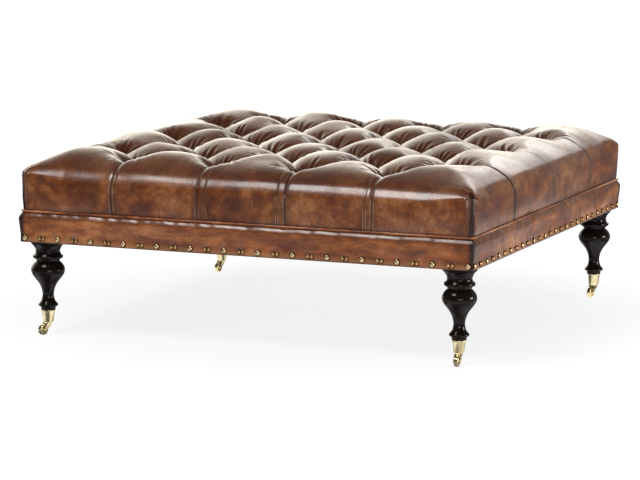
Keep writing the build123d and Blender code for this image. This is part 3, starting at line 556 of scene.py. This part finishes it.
lines_x, lines_y = cloth_lines(step_x, columns), cloth_lines(step_y, rows)
x, drop_x, lean_x, cx = (np.repeat(line[:, None], len(lines_y[0]), 1) for line in lines_x)
y, drop_y, lean_y, cy = (np.repeat(line[None], len(lines_x[0]), 0) for line in lines_y)
nx, ny = x.shape
cloth_edge = lines_x[3][-1]
corner_start, corner_reach, corner_fullness = 0.49, 0.123, 0.34
corner_x, corner_y = (np.clip((np.abs(line) - corner_start) / corner_reach, 0, 1) for line in (x, y))
drop = np.minimum((drop_x ** 3 + drop_y ** 3) ** (1 / 3), crown - side_top)
drop = drop * (1 - corner_fullness * (corner_x * corner_y))
top = np.stack([x, y, crown - drop], -1)
upright = np.sqrt(np.clip(1 - np.minimum(lean_x ** 2 + lean_y ** 2, 1), 0.0004, 1))
out = np.stack([np.sign(x) * lean_x, np.sign(y) * lean_y, upright], -1)

# Sides: rows of points down from the rim of the top to the seam.
rim = (
    [(i, 0) for i in range(nx)] + [(nx - 1, j) for j in range(1, ny)]
    + [(i, ny - 1) for i in range(nx - 2, -1, -1)] + [(0, j) for j in range(ny - 2, 0, -1)]
)
rim_i, rim_j = np.array(rim).T
fall = np.linspace(0, 1, side_steps + 1)[1:]
rim_top, rim_cx, rim_cy = top[rim_i, rim_j], cx[rim_i, rim_j], cy[rim_i, rim_j]
wall = np.repeat(rim_top[None], side_steps, 0)
wall[:, :, 2] = rim_top[None, :, 2] + (seam - rim_top[None, :, 2]) * fall[:, None]
wall[:, :, :2] *= 1 - (1 - foot / widest) * fall[:, None, None] ** 2
edge_x, edge_y = np.abs(rim_top[:, 0]) > widest - 1e-6, np.abs(rim_top[:, 1]) > widest - 1e-6
wall_out = np.stack([np.sign(rim_top[:, 0]) * edge_x, np.sign(rim_top[:, 1]) * edge_y, 0 * edge_x], -1)
side_length = 0.08
further = np.repeat((cloth_edge + side_length * fall)[:, None], len(rim), 1)
wall_cx = np.where(edge_x, np.sign(rim_cx) * further, rim_cx)
wall_cy = np.where(edge_y, np.sign(rim_cy) * further, rim_cy)

# Each point has its place, its outward direction, and where it lies on the leather when laid out flat.
base = np.concatenate([top.reshape(-1, 3), wall.reshape(-1, 3)])
outwards = np.concatenate([out.reshape(-1, 3), np.repeat(wall_out[None], side_steps, 0).reshape(-1, 3)])
outwards /= np.linalg.norm(outwards, axis=1)[:, None]
lay = np.stack([np.concatenate([a.ravel(), b.ravel()]) for a, b in ((cx, wall_cx), (cy, wall_cy))], -1)

# Folds: each runs from one button to the next. Pleats run out over the edge, shallow and narrow, and
# the leather on one side of each lies over the other.
cells = [(i, j) for j in range(-rows, rows + 1) for i in range(-columns, columns + 1) if (i + j) % 2 == 0]
buttons = np.array([(i * step_x, j * step_y) for i, j in cells])
half_puff = step_x * step_y / np.hypot(step_x, step_y)
fold, fullness, lap = np.ones(len(lay)), np.ones(len(lay)), np.zeros(len(lay))
lap_reach, second_line, far_off = 0.009, 0.0009, 1.0


def pinch(start, end, strength, wide, over=0.07, lap_height=0.0, gape=1.0):
    """Pinches the leather along a line. Strength and width are pairs, for its start and for its far part."""
    start, run = np.array(start), np.array(end) - start
    length = np.hypot(*run)
    ahead = (lay - start) @ run / length
    share = np.clip(ahead / length, 0, 1)
    away = np.linalg.norm(lay - start - share[:, None] * run, axis=1)
    ease = np.minimum(share * length / over, 1)
    near = np.clip(1 - away / (wide[0] + (wide[1] - wide[0]) * ease ** 0.6), 0, 1)
    pull = strength[0] + (strength[1] - strength[0]) * ease
    fullness[:] *= 1 - pull * (1 - (1 - near ** 2) ** 0.9)
    offset = (lay - start) @ (-run[1], run[0]) / length
    over_edge = np.where(offset * lap_height >= 0, np.exp(-np.abs(offset) / lap_reach), 0)
    lap[:] += abs(lap_height) * (over_edge * ease * (ahead > 0))
    faint = second_line if strength[0] == 0 else 0.0
    fold[:] = np.minimum(fold, away / gape + faint + np.where(ahead < 0, far_off, 0.0))


# The pleats of the front and back, by column: how far aside each runs and how high its leather laps, and
# where the second line beside it starts and how high that laps.
pleats = {
    -3: ((-0.013, -0.0018), (0.016, 0.0010)), -1: ((-0.006, 0.0018), (0.023, 0.0008)),
    1: ((0.004, -0.0018), (-0.024, 0.0012)), 3: ((0.0, 0.0018), (-0.019, 0.0008)),
}
past_seam = 0.80
for i, j in cells:
    here = np.array([i * step_x, j * step_y])
    for other in ((i + 1, j + 1), (i + 1, j - 1)):
        if other in cells:
            pinch(here, (other[0] * step_x, other[1] * step_y), (1, 1), (half_puff, half_puff))
    if abs(j) == rows:
        (aside, high), (second, low) = pleats[i]
        end = np.sign(j) * past_seam
        pinch(here, (here[0] + aside, end), (1, 0.09), (half_puff, 0.011), 0.115, lap_height=high)
        begin = (here[0] + aside + second, here[1] + np.sign(j) * 0.075)
        pinch(begin, (begin[0], end), (0, 0.05), (0.008, 0.007), 0.03, lap_height=low)
    if abs(i) == columns:
        foremost = j == -2
        high, gape = (0.0022, 1.9) if foremost else (0.0006, 1.3)
        end = (np.sign(i) * past_seam, here[1] + 0.034)
        pinch(here, end, (1, 0.09 if foremost and i > 0 else 0.03), (half_puff, 0.011),
              0.024 if i < 0 else 0.045, lap_height=high * np.sign(i), gape=gape)

# How far the leather lies under the crowns. The pits of the last column on the left open outwards less.
puff_depth, pit_depth, pit_reach = 0.027, 0.053, 0.032
ring = np.linalg.norm(lay[:, None] - buttons[None], axis=2).min(1)
pit = np.exp(-(ring / pit_reach) ** 1.5) * (1 - 0.9 * np.clip((-lay[:, 0] - 0.474) / 0.022, 0, 1))
sink = puff_depth * (1 - fullness) + pit_depth * pit - lap

# Tucks: small pleats that radiate from each button and fade, most of them beside the folds.
rng = np.random.default_rng(11)


def tuck(centre, angle, length, depth, width, clear=0.011):
    """One small pleat that leaves a point of the leather at an angle, with a lip beside its groove."""
    close = np.flatnonzero(np.abs(lay - centre).max(1) < length)
    way = np.array((cos(angle), sin(angle)))
    along, across = (lay[close] - centre) @ way, (lay[close] - centre) @ (-way[1], way[0])
    share = np.clip(along / length, 0, 1)
    fade = (1 - share) ** 0.8 * np.clip((along - clear) / 0.008, 0, 1)
    wide = width * (0.6 + 0.9 * share)
    groove, lip = np.exp(-(across / wide) ** 2), np.exp(-((across - 1.8 * wide) / wide) ** 2)
    sink[close] += depth * fade * (groove - 0.6 * lip)
    fold[close] = np.minimum(fold[close], np.abs(across) + 0.0012 + 0.006 * share + far_off * (along < clear))


def ripple(slow, fast):
    """A wave over the leather, of random direction, rate and start."""
    way, phase = rng.normal(0, 1, 2), rng.uniform(0, 2 * pi)
    return np.sin(lay @ (way / np.hypot(*way)) * rng.uniform(slow, fast) + phase)


slant = np.arctan2(step_y, step_x)
for centre in buttons:
    for fold_angle in (slant, pi - slant, pi + slant, -slant):
        for offset in (-0.62, -0.36, -0.17, 0.16, 0.38, 0.64):
            tuck(centre, fold_angle + offset + rng.normal(0, 0.06), rng.uniform(0.050, 0.100),
                 rng.uniform(0.0040, 0.0075), rng.uniform(0.0026, 0.0038))
uneven = sum(ripple(8, 40) for _ in range(12))

# Corners: the leather is folded under itself in an upright seam, puckered at its top, darkened by painted
# shade along the fold.
rim_x, rim_y = np.abs(base[:, 0]), np.abs(base[:, 1])
at_corner = np.clip((np.minimum(rim_x, rim_y) - 0.575) / 0.020, 0, 1)
off_corner = np.abs(rim_x - rim_y) / 2 ** 0.5
fold[:] = np.minimum(fold, 0.25 * off_corner + 0.02 * (1 - at_corner))
sink += 0.0050 * at_corner * np.exp(-(off_corner / 0.006) ** 2)
tip = cloth_edge - 0.012
for sx, sy in ((1, 1), (1, -1), (-1, 1), (-1, -1)):
    inward = np.arctan2(-sy, -sx)
    for offset in (-0.75, -0.45, -0.2, 0.15, 0.4, 0.7):
        tuck(np.array((sx * tip, sy * tip)), inward + offset, rng.uniform(0.03, 0.06), 0.0020, 0.0024, 0.002)
field = np.clip((0.60 - np.maximum(rim_x, rim_y)) / 0.10, 0.25, 1)
unevenness, wander = 0.0010, 0.0016
points = base - outwards * (sink - unevenness * uneven * fullness * field)[:, None]

# The folds wander a little, and the buttons' seats stay flat, so that the buttons lie on them.
seat_radius, seat_height, pit_floor = 0.0126, 0.4036, 0.4030
inside = np.clip((0.56 - np.maximum(rim_x, rim_y)) / 0.08, 0, 1) * np.clip((ring - 0.014) / 0.04, 0, 1)
for axis in (0, 1):
    for _ in range(4):
        points[:, axis] += wander * inside * ripple(25, 60)
points[ring < 0.05, 2] = np.maximum(points[ring < 0.05, 2], pit_floor)
seat = ring < seat_radius
points[seat] = np.concatenate([lay[seat], np.full((seat.sum(), 1), seat_height)], 1)

# The corners in plan are rounded.
corner_radius, seam_roll = 0.016, 0.004
straight_to = foot + seam_roll - corner_radius
over = np.abs(points[:, :2]) - straight_to
both = (over > 0).all(1)
a, b = (np.minimum(over[both, k] / corner_radius, 1.0) for k in (0, 1))
squared = np.stack([a * np.sqrt(1 - b * b / 2), b * np.sqrt(1 - a * a / 2)], -1)
points[both, :2] = np.sign(points[both, :2]) * (straight_to + squared * corner_radius)

# Faces: the diagonal of each square lies along the folds.
number = np.arange(nx * ny).reshape(nx, ny)
faces = []
for i in range(nx - 1):
    for j in range(ny - 1):
        block_i, block_j = (i - margin_steps) // per_block, (j - margin_steps) // per_block
        p, q, r, s = number[i, j], number[i + 1, j], number[i + 1, j + 1], number[i, j + 1]
        if (block_i - columns + block_j - rows) % 2 == 0:
            faces += [(p, q, r), (p, r, s)]
        else:
            faces += [(p, q, s), (q, r, s)]
rings = [number[rim_i, rim_j]] + [nx * ny + k * len(rim) + np.arange(len(rim)) for k in range(side_steps)]

# Underneath, the leather turns in round the foam, and its inside closes the shell.
foam_edge, foam_top = 0.5942, 0.4004
low = points[rings[-1]].copy()
low[:, :2] = np.clip(low[:, :2], -foam_edge, foam_edge)
high = low.copy()
high[:, 2] = foam_top
rings += [len(points) + k * len(rim) + np.arange(len(rim)) for k in (0, 1)]
middle = len(points) + 2 * len(rim)
points = np.concatenate([points, low, high, [[0, 0, foam_top]]])
for above, below in zip(rings[:-1], rings[1:]):
    for k in range(len(rim)):
        faces.append((above[k], below[k], below[(k + 1) % len(rim)], above[(k + 1) % len(rim)]))
for k in range(len(rim)):
    faces.append((rings[-1][k], middle, rings[-1][(k + 1) % len(rim)]))


def cover_shade_and_marks(t, colour, place, noise):
    """Painted shade: dark slits along the folds, and darker in the pits, at the foot and over the top. Darker
    wax along the folds, partly painted shade, and golden lips beside them.
    """
    away = t.node("Attribute", {"attribute_name": "fold"}, out="Fac")
    depth = t.node("Attribute", {"attribute_name": "depth"}, out="Fac")
    high = t.split(place)[2]
    # Darker along the folds: wax in them, and painted shade.
    wax_and_shade = t.step(away, 0.001, 0.022, 1.0, 0.0) * (0.30 + 0.5 * noise(40.0))
    lip = t.step(away, 0.0026, 0.0036) * t.step(away, 0.0046, 0.0062, 1.0, 0.0)
    lip = lip * t.step(noise(20.0), 0.42, 0.60)
    # Painted shade in the slit of each fold.
    slit = t.step(away, 0.0006, 0.0026, 1.0, 0.0)
    shadow_brown = (0.050, 0.0150, 0.0065)
    colour = t.blend(wax_and_shade, colour, (0.060, 0.0180, 0.0080))
    colour = t.blend(lip * 0.55, colour, (0.45, 0.235, 0.12))
    colour = t.blend(slit * 0.92, colour, (0.012, 0.0040, 0.0020))
    # Painted shade in the pits, by depth.
    colour = t.blend(t.step(depth, 0.35, 1.0) * 0.45, colour, shadow_brown)
    # Painted shade at the foot, above the seam.
    colour = t.blend(t.step(high, 0.324, 0.336, 1, 0) * 0.55, colour, shadow_brown)
    # Painted shade over the top, from z 0.412 up.
    return t.blend(t.step(high, 0.412, 0.440) * 0.55, colour, (0.090, 0.0165, 0.0045))


cover = sew("leather_cover", points.tolist(), [tuple(map(int, face)) for face in faces],
            leather("cover leather", 1.0, cover_shade_and_marks), "tufted_cover")
# The fold and depth attributes carry the painted shade of the folds and pits.
deepest = 0.08
for label, values in (("fold", fold), ("depth", sink / deepest)):
    mark(cover.data, label, np.pad(values, (0, len(points) - len(values))))

# Buttons: domed blanks covered in the same leather, which gathers a little round their edges. They lie
# deep in the pits, each held down by its twine, and their leather is made darker as painted shade.
button_height, gathers = 0.4075, 7.0
button_sizes = {"Radius": 0.0110, "Half height": 0.0035, "Pucker": 0.05}
g, seats, radius, half_height, pucker = start_tree("covered buttons", button_sizes)
ball = g.node("GeometryNodeMeshUVSphere", inputs={"Segments": 28, "Rings": 14, "Radius": 1.0})
spot = g.node("GeometryNodeInputPosition")
east, north, _ = g.split(spot)
wave = g.math("SINE", g.math("ARCTAN2", north, east) * gathers)
wide = 1.0 - pucker + wave * pucker
even = g.node("CombineXYZ", inputs={"X": wide, "Y": wide, "Z": 1.0})
drawn = g.node("VectorMath", {"operation": "MULTIPLY"}, {0: spot, 1: even})
gathered = g.node("GeometryNodeSetPosition", inputs={"Geometry": ball, "Position": drawn})
spread = g.node("CombineXYZ", inputs={"X": radius, "Y": radius, "Z": half_height})
blank = g.node("GeometryNodeTransform", inputs={"Geometry": gathered, "Scale": spread})
set_in = g.node("GeometryNodeInstanceOnPoints", inputs={"Points": seats, "Instance": blank})
covered = run_tree(g, button_sizes, "covered_buttons", set_in, leather("button leather", 0.7),
                   [(*place, button_height) for place in buttons])
stand_for(covered, "leather", "tuft_buttons")

# Welt: a thin roll of leather, sewn into the seam at the foot of the cushion all the way round. Its
# thickness varies a little along its length.
welt_line, welt_radius, welt_round, welt_height = 0.6098, 0.0026, 0.012, 0.3236
welt_straight = welt_line - welt_round
path = []
for k, (sx, sy) in enumerate(((1, -1), (1, 1), (-1, 1), (-1, -1))):
    for a in np.linspace(-pi / 2, 0, 9) + k * pi / 2:
        path.append((sx * welt_straight + welt_round * cos(a), sy * welt_straight + welt_round * sin(a)))
    last, ahead = path[-1], (k + 1) * pi / 2
    for step in np.linspace(0, 2 * welt_straight, 300)[1:-1]:
        path.append((last[0] + step * cos(ahead), last[1] + step * sin(ahead)))
path = np.array(path)
tangent = np.roll(path, -1, 0) - np.roll(path, 1, 0)
tangent /= np.linalg.norm(tangent, axis=1)[:, None]
points, faces, around, swelling = [], [], 10, 0.05
for k, ((px, py), (tx, ty)) in enumerate(zip(path, tangent)):
    thick = welt_radius * (1 + swelling * sin(k * 0.9) + swelling * sin(k * 0.37))
    for m in range(around):
        a = m * 2 * pi / around
        points.append((px + ty * thick * cos(a), py - tx * thick * cos(a), welt_height + thick * sin(a)))
        k2, m2 = (k + 1) % len(path), (m + 1) % around
        faces.append((k * around + m, k2 * around + m, k2 * around + m2, k * around + m2))
sew("welt", points, faces, leather("welt leather", 1.6, seed=5.0), "welt_piping")

# Turned legs: hardwood from the lathe, stained espresso and sprayed with a near-black, glossy lacquer
# that lets only a trace of the upright grain through.
leg_finish, t, shader = material("espresso lacquer", (0.012, 0.0065, 0.005), 0.16)
place = t.node("Mapping", inputs={"Vector": t.node("TexCoord", out="Object"), "Scale": (90, 90, 7)})
grain = clouds(t, 1.0, 6.0, bend=0.5, place=place)
shader["Base Color"] = t.node("ValToRGB", {"stops": [
    (0.35, (0.0055, 0.0035, 0.0030)), (0.55, (0.008, 0.0050, 0.0040)), (0.72, (0.018, 0.0080, 0.0055)),
]}, {0: grain})
shader["Roughness"] = t.step(grain, 0.3, 0.8, 0.14, 0.26)
shader["Specular IOR Level"] = 0.05
shader["Coat Weight"] = 0.3
shader["Coat Roughness"] = 0.04
shader["Normal"] = bump(t, grain, 0.02, 0.0005)
dress(t, shader)
paint(leg_finish, *[f"leg_{corner}" for corner in corners])

# Casters: cast brass cups pinned to the leg feet, with forks that swivel under them, and axles and wheels.
# The brass is polished, with a little tarnish.
caster_brass, t, shader = material("polished brass", (0.78, 0.56, 0.25), 0.16, Metallic=1.0)
spot = clouds(t, 120.0, 5.0)
shader["Base Color"] = t.blend(t.step(spot, 0.35, 0.75), (0.93, 0.82, 0.52), (0.72, 0.56, 0.28))
shader["Roughness"] = t.step(spot, 0.3, 0.75, 0.12, 0.30)
shader["Normal"] = bump(t, spot, 0.08, 0.0004)
dress(t, shader)
caster_parts = ("caster_cup", "caster_fork", "caster_axle", "caster_wheel")
paint(caster_brass, "cup_pins", "swivel_pins",
      *[f"{part}_{corner}" for part in caster_parts for corner in corners])

# The box round all the meshes that render, apart from the floor.
low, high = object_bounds()
